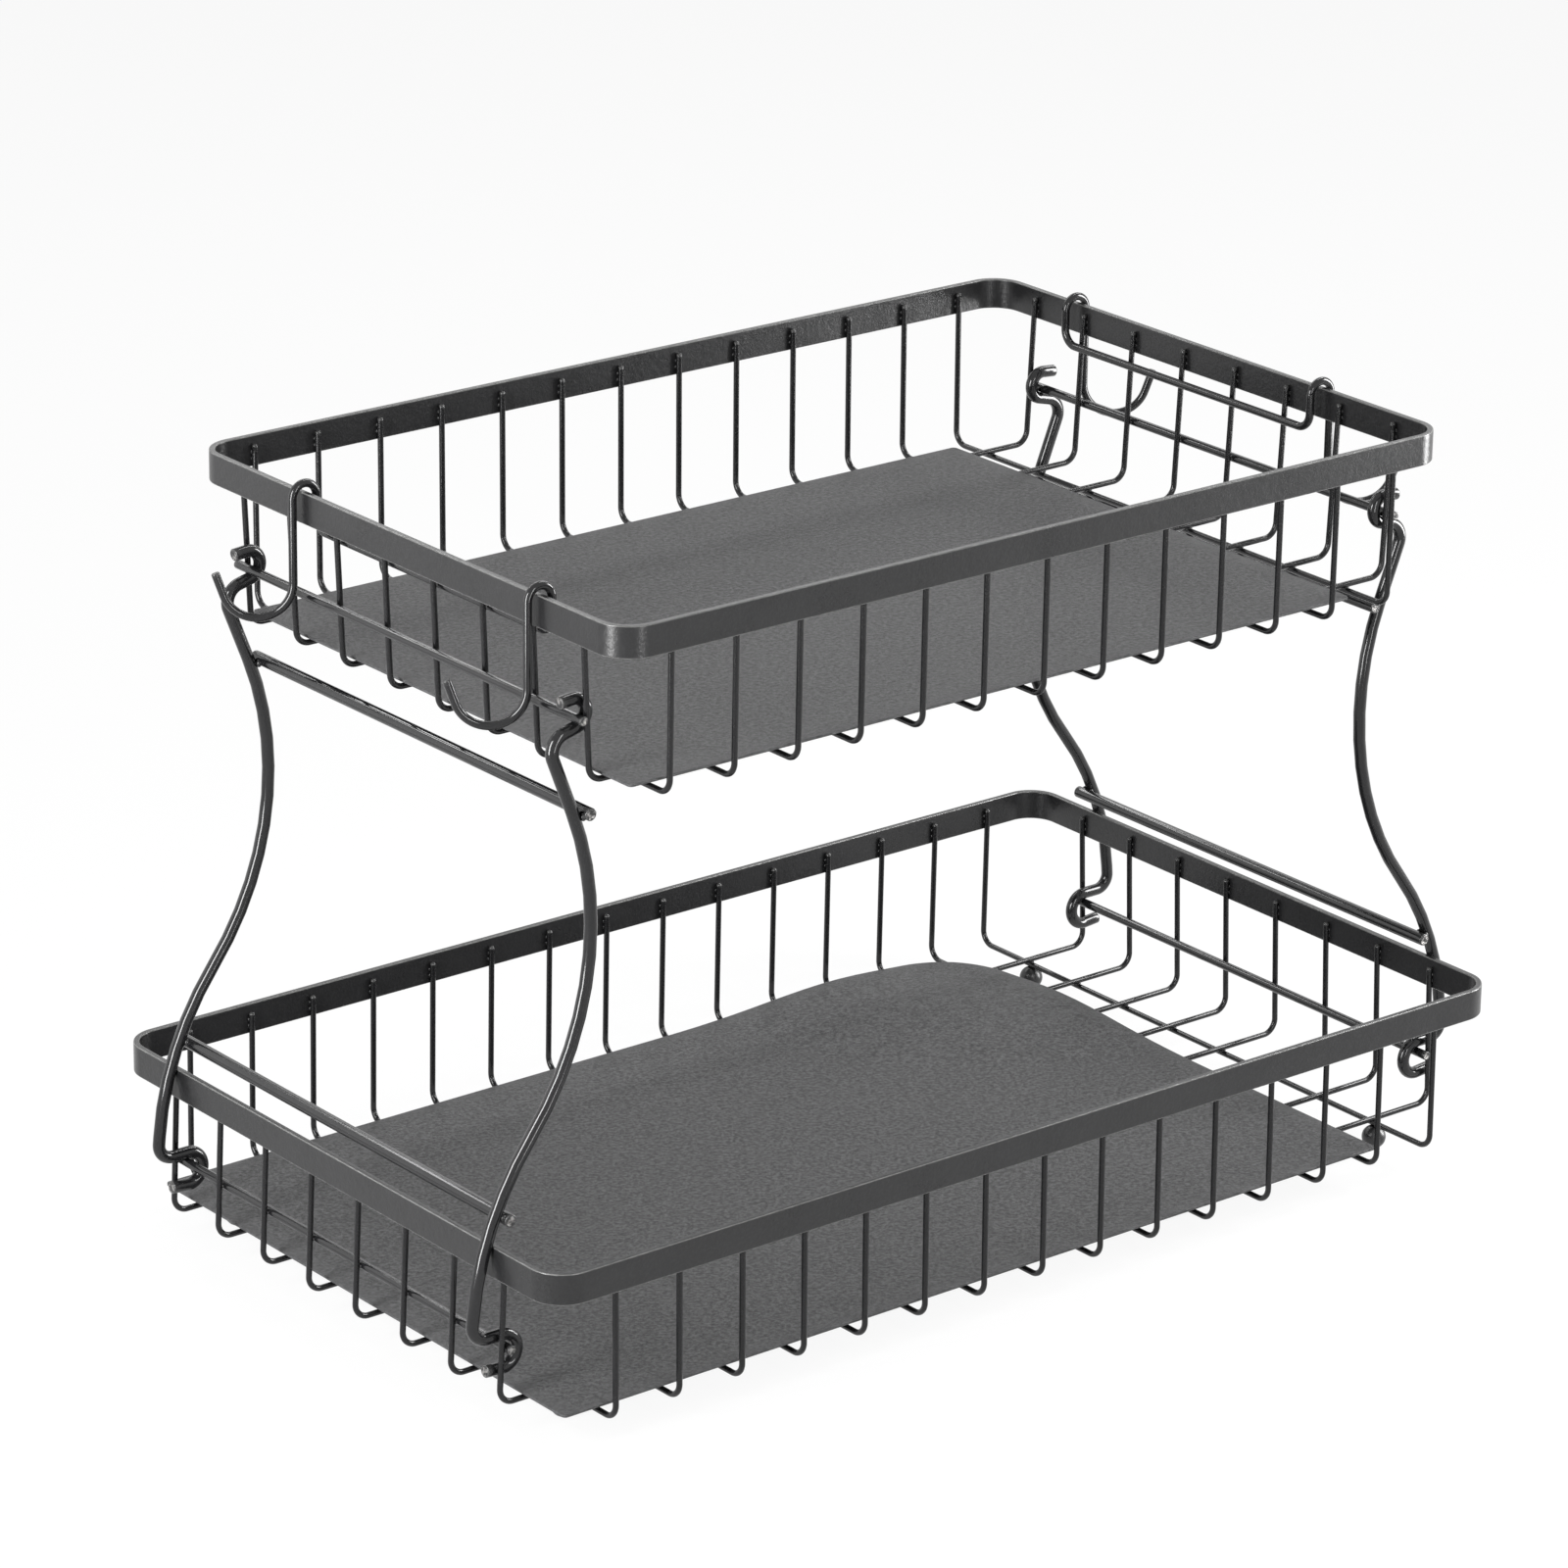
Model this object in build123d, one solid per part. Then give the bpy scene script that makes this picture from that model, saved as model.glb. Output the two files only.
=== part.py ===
from build123d import *
import os
from math import acos, asin, atan, ceil, cos, degrees, hypot, radians, sin, sqrt

# Two-tier countertop wire basket. Sizes are in millimetres and angles in degrees.
# X runs along the baskets, Y from front to back and Z up. The origin is on the ground,
# under the middle of the baskets.

# Stock
wire_dia = 2.0
rod_dia = 3.1
leg_dia = 4.2
rack_dia = 2.8
strip_thickness = 2.1
strip_height = 10.6

# A round bar has this many flats, and a bend has as many chords as keep them this near
# to its true arc.
thin_bar_sides = 8
thick_bar_sides = 10
bend_sag = 0.18

# Fits: a weld leaves a hairline, and a piece that lifts off keeps a loose gap.
weld_gap = 0.02
loose_gap = 0.3

# Both baskets: U-shaped wires cross over each other, welded inside a flat strip rim.
rim_corner_radius = 12.0
wire_bend_radius = 5.0
wire_top_inset = 2.8
long_wire_count = 8

# Lower basket. A wall that leans out is wider at the floor than under the rim.
lower_length = 402.0
lower_width = 242.0
lower_depth = 55.4
lower_cross_wire_count = 15
lower_end_margin = 26.0
lower_side_margin = 29.65
lower_end_lean_out = 2.1
lower_side_lean_out = 0.6
lower_rod_rise = 20.4

# Upper basket
upper_length = 343.0
upper_width = 229.0
upper_depth = 58.0
upper_cross_wire_count = 13
upper_end_margin = 21.5
upper_side_margin = 23.15
upper_end_lean_in = 2.5
upper_side_lean_in = 0.4
upper_rod_rise = 22.7
tier_rise = 199.9

# End rods and crossbars run this far past the legs.
rod_overhang = 5.7
crossbar_overhang = 3.2
lower_crossbar_rise = 7.8
upper_crossbar_drop = 22.6

# Ball feet under the lower basket
foot_dia = 8.4
foot_flat_dia = 2.8
foot_rings = 6

# Legs: one rod each, a gentle S with a hook eye at both ends.
leg_inset = 33.2
leg_waist_lean = 21.7
leg_foot_lean = 5.2
leg_foot_straight = 2.7
leg_top_straight = 19.5
lower_eye_radius = 5.8
lower_arm_length = 6.0
lower_elbow_radius = 5.1
lower_tip_length = 6.0
lower_tip_lift = 5.0
upper_eye_radius = 4.8
upper_arm_length = 4.8
upper_arm_rise = 14.0
upper_elbow_radius = 5.9
upper_tip_length = 5.0
upper_tip_drop = 5.0

# Hook racks: one wire each, hung over an end of the upper rim.
rack_leg_spacing = 125.7
rack_shift = 8.15
rack_stand_off = 1.3
rack_loop_radius = 4.6
rack_bar_drop = 14.0
rack_bar_corner = 5.5
hook_radius = 11.4
hook_flare = 19.0
hook_tip_length = 8.2
hook_bottom_drop = 41.6
hook_turn = 60.0

# Liners: loose sheets on the floor wires
liner_thickness = 1.0
upper_liner_length = 299.0
upper_liner_width = 203.5
upper_liner_shift_x = -12.0
upper_liner_shift_y = -4.5
lower_liner_length = 346.0
lower_liner_width = 223.0
lower_liner_shift_x = -18.5
lower_liner_shift_y = -2.2
lower_liner_corner = 26.0

# Turns in degrees
quarter_turn = 90.0
half_turn = 180.0

# Sizes that follow from the sizes above
foot_height = sqrt(foot_dia**2 - foot_flat_dia**2)
lower_floor = foot_height + weld_gap + wire_dia / 2
upper_floor = lower_floor + tier_rise
lower_rim_top = lower_floor + lower_depth
upper_rim_top = upper_floor + upper_depth
long_wire_lift = wire_dia + weld_gap
leg_spacing = lower_width - 2 * leg_inset


def chorded(edges):
    """The points of a path of straights and arcs, with each arc cut into even chords."""
    points = [edges[0] @ 0]
    for edge in edges:
        chords = 1
        if edge.geom_type == GeomType.CIRCLE:
            widest = 2 * acos(1 - bend_sag / edge.radius)
            chords = ceil(edge.length / edge.radius / widest)
        points += [edge @ (i / chords) for i in range(1, chords + 1)]
    return points


def bent_bar(points, diameter, sides):
    """A bar along a route of points, as a many-sided tube with mitred bends."""
    path = Polyline(*points)
    section = Plane(path @ 0, z_dir=path % 0) * RegularPolygon(diameter / 2, sides)
    return sweep(section, path=path, transition=Transition.RIGHT)


def group(solids):
    """Separate solids that share one node."""
    return Compound(children=[shape.solid() for shape in solids])


def bar_pair(length, diameter, x, z):
    """Two straight bars along Y, one at each end of the basket."""
    bar = extrude(Plane.XZ * RegularPolygon(diameter / 2, thick_bar_sides), length / 2, both=True)
    return group(Pos(side * x, 0, z) * bar for side in (-1, 1))


def strip_rim(length, width, top):
    """A flat strip bent into a rounded rectangle."""
    outer = RectangleRounded(length, width, rim_corner_radius)
    inner = RectangleRounded(
        length - 2 * strip_thickness,
        width - 2 * strip_thickness,
        rim_corner_radius - strip_thickness,
    )
    return Pos(0, 0, top - strip_height) * extrude(outer - inner, strip_height)


def wire_reach(rim_size):
    """Half the distance between the tops of a wire, welded inside the rim."""
    return rim_size / 2 - strip_thickness - weld_gap - wire_dia / 2


def u_wire(rim_size, lean_in, rim_top, floor):
    """A wire down one wall, across the floor and up the other, in the XY plane."""
    reach = wire_reach(rim_size)
    top = rim_top - wire_top_inset
    low = reach - lean_in
    path = FilletPolyline((-reach, top), (-low, floor), (low, floor), (reach, top), radius=wire_bend_radius)
    return bent_bar(chorded(path.edges()), wire_dia, thin_bar_sides)


def spread(count, size, margin):
    """Evenly spaced places along a basket, centred on zero, with a margin at both ends."""
    return [(size - 2 * margin) * (i / (count - 1) - 1 / 2) for i in range(count)]


def basket_wires(name, length, width, rim_top, floor, cross_places, long_places, end_lean_in, side_lean_in):
    """The crossing wires of one basket, by node name."""
    nodes = {}
    cross = Plane.YZ * u_wire(width, side_lean_in, rim_top, floor)
    for i, x in enumerate(cross_places, 1):
        nodes[f"{name}_cross_wire_{i:02d}"] = Pos(x, 0, 0) * cross
    along = Plane.XZ * u_wire(length, end_lean_in, rim_top, floor + long_wire_lift)
    for i, y in enumerate(long_places, 1):
        nodes[f"{name}_long_wire_{i}"] = Pos(0, y, 0) * along
    return nodes


def end_wire_place(length, lean_in, rim_top, floor, height):
    """How far out an end wall's wires are at a height, and the cosine of their lean."""
    run = rim_top - wire_top_inset - (floor + long_wire_lift)
    down = rim_top - wire_top_inset - height
    return wire_reach(length) - lean_in * down / run, run / hypot(run, lean_in)


# The upper rods lie outside their end wires and the lower rods inside, one wire and one
# rod radius away.
rod_offset = wire_dia / 2 + weld_gap + rod_dia / 2
upper_rod_z = upper_floor + upper_rod_rise
lower_rod_z = lower_floor + lower_rod_rise
upper_wire_x, upper_lean_cos = end_wire_place(
    upper_length, upper_end_lean_in, upper_rim_top, upper_floor, upper_rod_z
)
lower_wire_x, lower_lean_cos = end_wire_place(
    lower_length, -lower_end_lean_out, lower_rim_top, lower_floor, lower_rod_z
)
upper_rod_x = upper_wire_x + rod_offset / upper_lean_cos
lower_rod_x = lower_wire_x - rod_offset / lower_lean_cos
arm_offset = leg_dia / 2 + weld_gap + rod_dia / 2


def bent_path(start, heading, steps):
    """Straights and tangent arcs in the XY plane, one after another, as edges.

    A step is the length of a straight, or the radius and the turn of an arc.
    """
    edges = []
    point = Vector(*start)
    for step in steps:
        direction = Vector(cos(radians(heading)), sin(radians(heading)))
        if isinstance(step, tuple):
            edges.append(JernArc(point, direction, *step))
            heading += step[1]
        else:
            edges.append(Line(point, point + direction * step))
        point = edges[-1] @ 1
    return edges


def ahead(point, heading, distance):
    """The point at a distance from another, along a heading."""
    return point[0] + distance * cos(radians(heading)), point[1] + distance * sin(radians(heading))


def leg_layout():
    """The leg's lower tip, its S-bend and its crossbar seats, with X outwards and Y up."""
    # Lower hook: the eye goes round the lower rod, which carries the arm above it.
    lower_eye = (lower_rod_x, lower_rod_z + arm_offset - lower_eye_radius)
    lower_turn = half_turn + lower_tip_lift
    eye_start = ahead(lower_eye, lower_turn + quarter_turn, lower_eye_radius)
    tip = ahead(eye_start, lower_turn, -lower_tip_length)
    elbow = (lower_rod_x + lower_arm_length, lower_rod_z + arm_offset + lower_elbow_radius)
    s_start = ahead(
        ahead(elbow, leg_foot_lean, lower_elbow_radius), quarter_turn + leg_foot_lean, leg_foot_straight
    )
    # Upper hook: its arm rises inwards under the upper rod, which rests on it.
    rise_cos = cos(radians(upper_arm_rise))
    upper_eye = (upper_rod_x, upper_rod_z + (upper_eye_radius - arm_offset) / rise_cos)
    under = -quarter_turn - upper_arm_rise
    arm_end = ahead(upper_eye, under, upper_eye_radius)
    arm_start = ahead(arm_end, -upper_arm_rise, upper_arm_length)
    upper_elbow = ahead(arm_start, under, upper_elbow_radius)
    s_stop = ahead(upper_elbow, -leg_waist_lean, upper_elbow_radius)
    s_end = ahead(s_stop, quarter_turn - leg_waist_lean, -leg_top_straight)
    # The S is two arcs of one radius, tangent to each other and to the straights.
    slope = (s_start[0] - s_end[0]) / (s_end[1] - s_start[1])
    cosines = (cos(radians(leg_foot_lean)) + cos(radians(leg_waist_lean))) / 2
    sines = (sin(radians(leg_waist_lean)) - sin(radians(leg_foot_lean))) / 2
    peak = degrees(atan(slope) + acos((cosines - slope * sines) / sqrt(1 + slope**2)))
    radius = (s_end[1] - s_start[1]) / (2 * (sines + sin(radians(peak))))
    path = bent_path(
        tip,
        lower_turn,
        [
            lower_tip_length,
            (lower_eye_radius, -lower_turn),
            lower_arm_length,
            (lower_elbow_radius, quarter_turn + leg_foot_lean),
            leg_foot_straight,
            (radius, peak - leg_foot_lean),
            (radius, -peak - leg_waist_lean),
            leg_top_straight,
            (upper_elbow_radius, quarter_turn + leg_waist_lean - upper_arm_rise),
            upper_arm_length,
            (upper_eye_radius, upper_arm_rise - half_turn - upper_tip_drop),
            upper_tip_length,
        ],
    )
    # The crossbars are welded to the inner side of the legs.
    seat = leg_dia + weld_gap
    upper_bar = ahead(
        ahead(s_stop, quarter_turn - leg_waist_lean, -upper_crossbar_drop), -leg_waist_lean, -seat
    )
    arc_centre = ahead(s_start, leg_foot_lean, -radius)
    bar_z = lower_rim_top + lower_crossbar_rise
    bar_angle = degrees(asin((bar_z - arc_centre[1]) / (radius - seat)))
    lower_bar = ahead(arc_centre, bar_angle, radius - seat)
    return path, lower_bar, upper_bar


def hook(foot, outward):
    """A flared J hook: from its tip down, round and up to the foot of the rack's leg."""
    up = Vector(0, 0, 1)
    centre = foot + outward * hook_radius
    flare = radians(hook_flare)
    arc_end = centre + (outward * cos(flare) - up * sin(flare)) * hook_radius
    tip = arc_end + (outward * sin(flare) + up * cos(flare)) * hook_tip_length
    return Line(tip, arc_end), ThreePointArc(arc_end, centre - up * hook_radius, foot)


def rack():
    """The left hook rack: rear hook, over the rim, inner bar, over the rim, front hook."""
    outer_x = -(upper_length / 2 + rack_stand_off + rack_dia / 2)
    middle_x = outer_x + rack_loop_radius
    inner_x = middle_x + rack_loop_radius
    # The inside of the loop rests on the rim's outer edge.
    bore = rack_loop_radius - rack_dia / 2
    loop_z = upper_rim_top + loose_gap - sqrt(bore**2 - (bore - rack_stand_off) ** 2)
    hook_z = upper_rim_top - hook_bottom_drop + hook_radius
    bar_z = upper_rim_top - rack_bar_drop
    corner = rack_bar_corner
    corner_inset = corner * (1 - cos(radians(quarter_turn / 2)))
    outward = Vector(-sin(radians(hook_turn)), cos(radians(hook_turn)), 0)
    halves = []
    for side in (1, -1):
        y = side * rack_leg_spacing / 2 - rack_shift
        foot = Vector(outer_x, y, hook_z)
        halves.append(
            [
                *hook(foot, outward),
                Line(foot, (outer_x, y, loop_z)),
                ThreePointArc(
                    (outer_x, y, loop_z), (middle_x, y, loop_z + rack_loop_radius), (inner_x, y, loop_z)
                ),
                Line((inner_x, y, loop_z), (inner_x, y, bar_z + corner)),
                ThreePointArc(
                    (inner_x, y, bar_z + corner),
                    (inner_x, y - side * corner_inset, bar_z + corner_inset),
                    (inner_x, y - side * corner, bar_z),
                ),
            ]
        )
    back, front = (chorded(half) for half in halves)
    return bent_bar([*back, *reversed(front)], rack_dia, thin_bar_sides)


def foot():
    """A ball foot, flattened where it stands and where it is welded to the wire."""
    radius = foot_dia / 2
    rise = acos(foot_flat_dia / foot_dia)
    rings = []
    for i in range(foot_rings + 1):
        angle = rise * (2 * i / foot_rings - 1)
        level = Plane.XY.offset(radius * (sin(angle) + sin(rise)))
        rings.append(level * RegularPolygon(radius * cos(angle), thick_bar_sides))
    return loft(rings, ruled=True)


def liner(length, width, shift_x, shift_y, floor, corner=0):
    """A flat sheet on the long wires, with its back right corner rounded if one is given."""
    sheet = Rectangle(length, width)
    if corner:
        sheet = fillet(sheet.vertices().sort_by(lambda v: v.X + v.Y)[-1], corner)
    bottom = floor + long_wire_lift + wire_dia / 2 + loose_gap
    return Pos(shift_x, shift_y, bottom) * extrude(sheet, liner_thickness)


def model():
    """Every sub-part, by node name."""
    nodes = {
        "lower_rim": strip_rim(lower_length, lower_width, lower_rim_top),
        "upper_rim": strip_rim(upper_length, upper_width, upper_rim_top),
        "lower_liner": liner(
            lower_liner_length,
            lower_liner_width,
            lower_liner_shift_x,
            lower_liner_shift_y,
            lower_floor,
            lower_liner_corner,
        ),
        "upper_liner": liner(
            upper_liner_length,
            upper_liner_width,
            upper_liner_shift_x,
            upper_liner_shift_y,
            upper_floor,
        ),
    }
    lower_cross_places = spread(lower_cross_wire_count, lower_length, lower_end_margin)
    lower_long_places = spread(long_wire_count, lower_width, lower_side_margin)
    nodes |= basket_wires(
        "lower",
        lower_length,
        lower_width,
        lower_rim_top,
        lower_floor,
        lower_cross_places,
        lower_long_places,
        -lower_end_lean_out,
        -lower_side_lean_out,
    )
    nodes |= basket_wires(
        "upper",
        upper_length,
        upper_width,
        upper_rim_top,
        upper_floor,
        spread(upper_cross_wire_count, upper_length, upper_end_margin),
        spread(long_wire_count, upper_width, upper_side_margin),
        upper_end_lean_in,
        upper_side_lean_in,
    )
    # Legs, crossbars and end rods
    path, lower_bar, upper_bar = leg_layout()
    right_leg = Plane.XZ * bent_bar(chorded(path), leg_dia, thick_bar_sides)
    left_leg = mirror(right_leg, about=Plane.YZ)
    for end, leg in (("left", left_leg), ("right", right_leg)):
        nodes[f"front_{end}_leg"] = Pos(0, -leg_spacing / 2, 0) * leg
        nodes[f"back_{end}_leg"] = Pos(0, leg_spacing / 2, 0) * leg
    rod_length = leg_spacing + 2 * rod_overhang
    crossbar_length = leg_spacing + 2 * crossbar_overhang
    nodes["lower_end_rods"] = bar_pair(rod_length, rod_dia, lower_rod_x, lower_rod_z)
    nodes["upper_end_rods"] = bar_pair(rod_length, rod_dia, upper_rod_x, upper_rod_z)
    nodes["lower_crossbars"] = bar_pair(crossbar_length, leg_dia, *lower_bar)
    nodes["upper_crossbars"] = bar_pair(crossbar_length, leg_dia, *upper_bar)
    # Ball feet, under the outer crossings of the floor wires
    nodes["ball_feet"] = group(
        Pos(x, y, 0) * foot()
        for x in (lower_cross_places[0], lower_cross_places[-1])
        for y in (lower_long_places[0], lower_long_places[-1])
    )
    # Hook racks
    left_rack = rack()
    nodes["left_hook_rack"] = left_rack
    nodes["right_hook_rack"] = Rot(0, 0, half_turn) * left_rack
    return nodes


os.makedirs("parts", exist_ok=True)
for name, shape in model().items():
    export_step(shape, f"parts/{name}.step")
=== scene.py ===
from math import acos, atan, ceil, cos, hypot, pi, radians, sin, sqrt

import bmesh
import bpy
from bpy.props import FloatProperty, FloatVectorProperty, IntProperty, PointerProperty
from bpy.types import Operator, Panel, PropertyGroup
from mathutils import Matrix, Vector


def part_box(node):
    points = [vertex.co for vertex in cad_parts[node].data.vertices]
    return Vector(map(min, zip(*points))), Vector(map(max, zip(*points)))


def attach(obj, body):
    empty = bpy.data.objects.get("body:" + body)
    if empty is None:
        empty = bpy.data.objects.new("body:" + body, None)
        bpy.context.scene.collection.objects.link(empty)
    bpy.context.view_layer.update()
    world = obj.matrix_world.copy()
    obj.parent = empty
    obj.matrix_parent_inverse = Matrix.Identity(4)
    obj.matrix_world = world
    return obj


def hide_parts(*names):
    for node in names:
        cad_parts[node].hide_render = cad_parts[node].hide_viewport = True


bl_info = {
    "name": "Tiered Wire Basket",
    "version": (1, 0, 0),
    "blender": (4, 5, 0),
    "location": "View3D > Sidebar > Basket",
    "description": "Dresses the wire basket with smooth wires, coated steel and grained liners",
    "category": "Object",
}

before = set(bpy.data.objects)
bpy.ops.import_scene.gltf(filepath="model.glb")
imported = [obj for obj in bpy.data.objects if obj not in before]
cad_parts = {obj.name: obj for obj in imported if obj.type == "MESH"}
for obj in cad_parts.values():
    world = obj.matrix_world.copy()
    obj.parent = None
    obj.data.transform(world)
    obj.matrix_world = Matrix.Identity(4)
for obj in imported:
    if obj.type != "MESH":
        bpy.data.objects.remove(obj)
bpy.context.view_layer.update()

MM = 0.001
FRAME_BODY = "basket_frame"
TIERS = ("lower", "upper")


def node_names(start):
    """The CAD nodes whose names start so, in order."""
    return sorted(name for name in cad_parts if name.startswith(start))


def length_prop(name, description, millimetres):
    """A length that the user can change, kept in metres."""
    return FloatProperty(
        name=name,
        description=description,
        default=millimetres * MM,
        min=0.0,
        precision=5,
        unit="LENGTH",
        subtype="DISTANCE",
    )


def angle_prop(name, description, degrees):
    """An angle that the user can change, kept in radians."""
    return FloatProperty(
        name=name,
        description=description,
        default=radians(degrees),
        unit="ROTATION",
        subtype="ANGLE",
    )


def colour_prop(name, description, value):
    """A colour that the user can change."""
    return FloatVectorProperty(
        name=name,
        description=description,
        default=value,
        min=0.0,
        max=1.0,
        size=3,
        subtype="COLOR",
    )


def share_prop(name, description, value):
    """A share from 0 to 1 that the user can change."""
    return FloatProperty(
        name=name, description=description, default=value, min=0.0, max=1.0, subtype="FACTOR"
    )


class BasketSizes(PropertyGroup):
    """Stock and bends of the wires, rods, strips and sheets."""

    wire_diameter: length_prop("Wire diameter", "Thickness of the wires of both baskets", 2.0)
    rod_diameter: length_prop("Rod diameter", "Thickness of the rods along the baskets' ends", 3.1)
    leg_diameter: length_prop("Leg diameter", "Thickness of the legs and their crossbars", 4.2)
    rack_diameter: length_prop("Rack wire diameter", "Thickness of the hook racks' wire", 2.8)
    strip_thickness: length_prop("Strip thickness", "Thickness of the rims' flat strip", 2.1)
    strip_edge: length_prop("Strip edge radius", "Rounding of the strip's rolled edges", 0.45)
    rim_corner: length_prop("Rim corner radius", "Outer radius of the rims' corners", 12.0)
    wire_bend: length_prop("Wire bend radius", "Radius where a wire turns into the floor", 5.0)
    weld_gap: length_prop("Weld gap", "Hairline between welded pieces", 0.02)
    loose_gap: length_prop("Loose gap", "Gap round pieces that lift off", 0.3)
    lower_end_lean: length_prop(
        "Lower end lean", "How far the lower end walls lean out at the floor", 2.1
    )
    lower_side_lean: length_prop(
        "Lower side lean", "How far the lower side walls lean out at the floor", 0.6
    )
    upper_end_lean: length_prop(
        "Upper end lean", "How far the upper end walls lean in at the floor", 2.5
    )
    upper_side_lean: length_prop(
        "Upper side lean", "How far the upper side walls lean in at the floor", 0.4
    )
    liner_corner: length_prop("Liner corner", "Radius of the lower liner's rounded corner", 26.0)
    liner_small_corner: length_prop(
        "Liner small corners", "Radius of the liners' other corners", 1.5
    )
    corner_lift: length_prop(
        "Liner corner lift", "How far the lower liner rises before its back corner", 2.8
    )
    wire_sides: IntProperty(name="Wire sides", description="Flats round a wire", default=14, min=6)
    bar_sides: IntProperty(
        name="Bar sides", description="Flats round a leg or rod", default=28, min=8
    )


class LegSizes(PropertyGroup):
    """The bends of a leg, from its lower hook to its upper hook."""

    waist_lean: angle_prop("Waist lean", "Lean of the leg under its upper hook", 21.7)
    foot_lean: angle_prop("Foot lean", "Lean of the leg above its lower hook", 5.2)
    tip_lift: angle_prop("Lower tip lift", "Turn of the lower hook past level", 5.0)
    tip_drop: angle_prop("Upper tip drop", "Turn of the upper hook past level", 5.0)
    arm_rise: angle_prop("Upper arm rise", "Slope of the arm under the upper rod", 14.0)
    foot_straight: length_prop("Foot straight", "Straight run above the lower hook", 2.7)
    top_straight: length_prop("Top straight", "Straight run under the upper hook", 19.5)
    lower_eye: length_prop("Lower eye radius", "Radius of the lower hook's eye", 5.8)
    lower_arm: length_prop("Lower arm", "Straight arm over the lower rod", 6.0)
    lower_elbow: length_prop("Lower elbow radius", "Bend between the lower arm and the leg", 5.1)
    lower_tip: length_prop("Lower tip", "Straight end of the lower hook", 6.0)
    upper_eye: length_prop("Upper eye radius", "Radius of the upper hook's eye", 4.8)
    upper_arm: length_prop("Upper arm", "Straight arm under the upper rod", 4.8)
    upper_elbow: length_prop("Upper elbow radius", "Bend between the leg and the upper arm", 5.9)
    upper_tip: length_prop("Upper tip", "Straight end of the upper hook", 5.0)


class RackSizes(PropertyGroup):
    """The bends of a hook rack."""

    stand_off: length_prop("Stand-off", "Gap between a rack and the outside of the rim", 1.3)
    loop_radius: length_prop("Loop radius", "Bend of the wire over the rim", 4.6)
    bar_corner: length_prop("Bar corner radius", "Bend from the inner bar to its uprights", 5.5)
    bar_drop: length_prop("Bar drop", "Inner bar's depth under the top of the rim", 14.0)
    leg_spacing: length_prop("Rack leg spacing", "Distance between the rack's two hooks", 125.7)
    shift: length_prop("Rack shift", "How far the rack sits off the middle", 8.15)
    hook_radius: length_prop("Hook radius", "Radius of the open hooks", 11.4)
    hook_tip: length_prop("Hook tip", "Straight end of an open hook", 8.2)
    hook_drop: length_prop("Hook drop", "Bottom of the hooks under the top of the rim", 41.6)
    hook_turn: angle_prop("Hook turn", "How far the hooks turn out from the rack", 60.0)
    hook_flare: angle_prop("Hook flare", "How far a hook's straight end leans out", 19.0)


class FinishLooks(PropertyGroup):
    """Colours and finishes of the coated steel and the liners."""

    rim_colour: colour_prop("Rim colour", "Satin black coat on the rims", (0.009, 0.009, 0.0095))
    wire_colour: colour_prop(
        "Wire colour", "Satin black coat on the wires", (0.007, 0.007, 0.0075)
    )
    frame_colour: colour_prop(
        "Frame colour", "Satin black coat on legs and rods", (0.007, 0.007, 0.0075)
    )
    foot_colour: colour_prop("Foot colour", "Gloss black of the ball feet", (0.008, 0.008, 0.0085))
    liner_colour: colour_prop("Liner colour", "Dark grey of the liners", (0.033, 0.033, 0.0337))
    # The thin coat colour is also the painted highlight along the rims' rolled edges.
    thin_coat_and_highlight_colour: colour_prop(
        "Thin coat colour",
        "The coat where it is thin, along edges and on welds",
        (0.24, 0.24, 0.235),
    )
    cut_colour: colour_prop("Cut end colour", "Bare steel of the cut ends", (0.36, 0.35, 0.34))
    rim_roughness: share_prop("Rim roughness", "Dullness of the rims", 0.28)
    wire_roughness: share_prop("Wire roughness", "Dullness of the wires", 0.16)
    frame_roughness: share_prop("Frame roughness", "Dullness of the legs and rods", 0.12)
    liner_roughness: share_prop("Liner roughness", "Dullness of the liners", 0.40)
    # The edge wear share also sets the strength of the painted highlight along the rims' rolled
    # edges.
    wear: share_prop("Edge wear", "How much lighter the coat gets along edges", 0.6)


# Shader maths


class Signal:
    """A shader socket that takes part in plain sums."""

    def __init__(self, network, socket):
        self.network = network
        self.socket = socket

    def _sum(self, operation, first, second):
        return self.network.node("ShaderNodeMath", {"operation": operation}, {0: first, 1: second})

    def __add__(self, other):
        return self._sum("ADD", self, other)

    def __radd__(self, other):
        return self._sum("ADD", other, self)

    def __sub__(self, other):
        return self._sum("SUBTRACT", self, other)

    def __rsub__(self, other):
        return self._sum("SUBTRACT", other, self)

    def __mul__(self, other):
        return self._sum("MULTIPLY", self, other)

    def __rmul__(self, other):
        return self._sum("MULTIPLY", other, self)


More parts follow.
